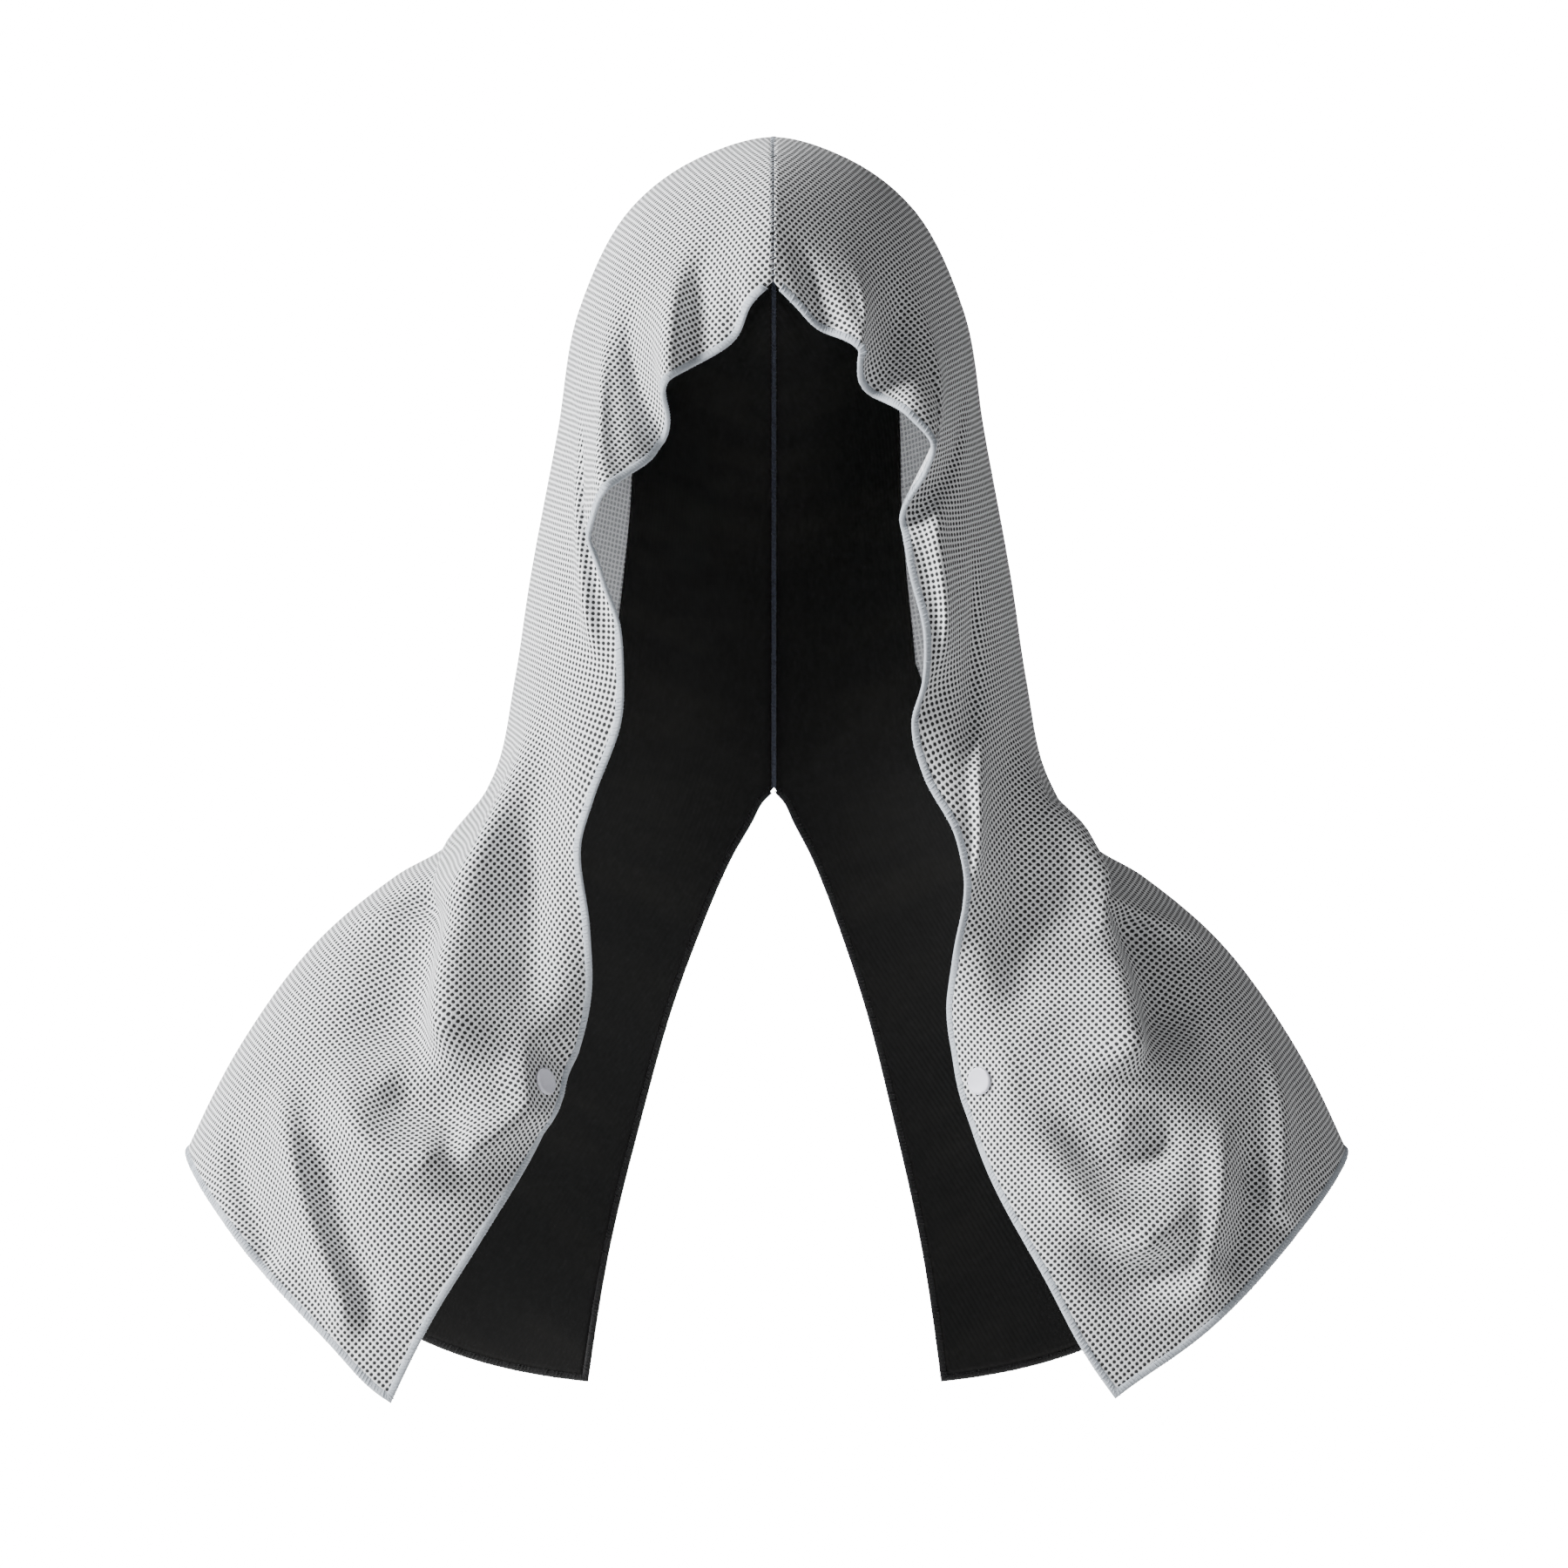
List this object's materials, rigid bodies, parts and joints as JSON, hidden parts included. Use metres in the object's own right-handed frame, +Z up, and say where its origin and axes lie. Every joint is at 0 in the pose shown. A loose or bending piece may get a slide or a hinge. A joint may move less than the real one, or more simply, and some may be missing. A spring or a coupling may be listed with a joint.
{
  "type": "cooling hooded towel",
  "caption": "Hooded cooling towel in perforated mesh, black lined behind the head, with cape panels split at the back and a snap near each front edge.",
  "frame": {"origin": "inside top of the crown, where the head carries the towel", "axes": "+Z up along the centre seam, the face opening towards -Y, +X to the right in the front view"},
  "size_m": [0.5354, 0.2312, 0.5798],
  "materials": {
    "mesh_cloth": "light grey polyester mesh, dimpled, matt with a faint sheen",
    "black_lining": "fine black knit",
    "light_thread": "light grey overlock thread",
    "black_thread": "black overlock thread",
    "seam_thread": "dark blue grey thread over the seam",
    "snap_plastic": "pale lavender grey plastic, satin"
  },
  "bodies": {
    "root": {"back_hem_left": "black_thread", "back_hem_right": "black_thread", "centre_seam": "seam_thread", "front_hem_left": "light_thread", "front_hem_right": "light_thread", "lining_left": "black_lining", "lining_right": "black_lining", "shell_left": "mesh_cloth", "shell_right": "mesh_cloth", "snap_left": "snap_plastic", "snap_right": "snap_plastic"}
  },
  "joints": []
}
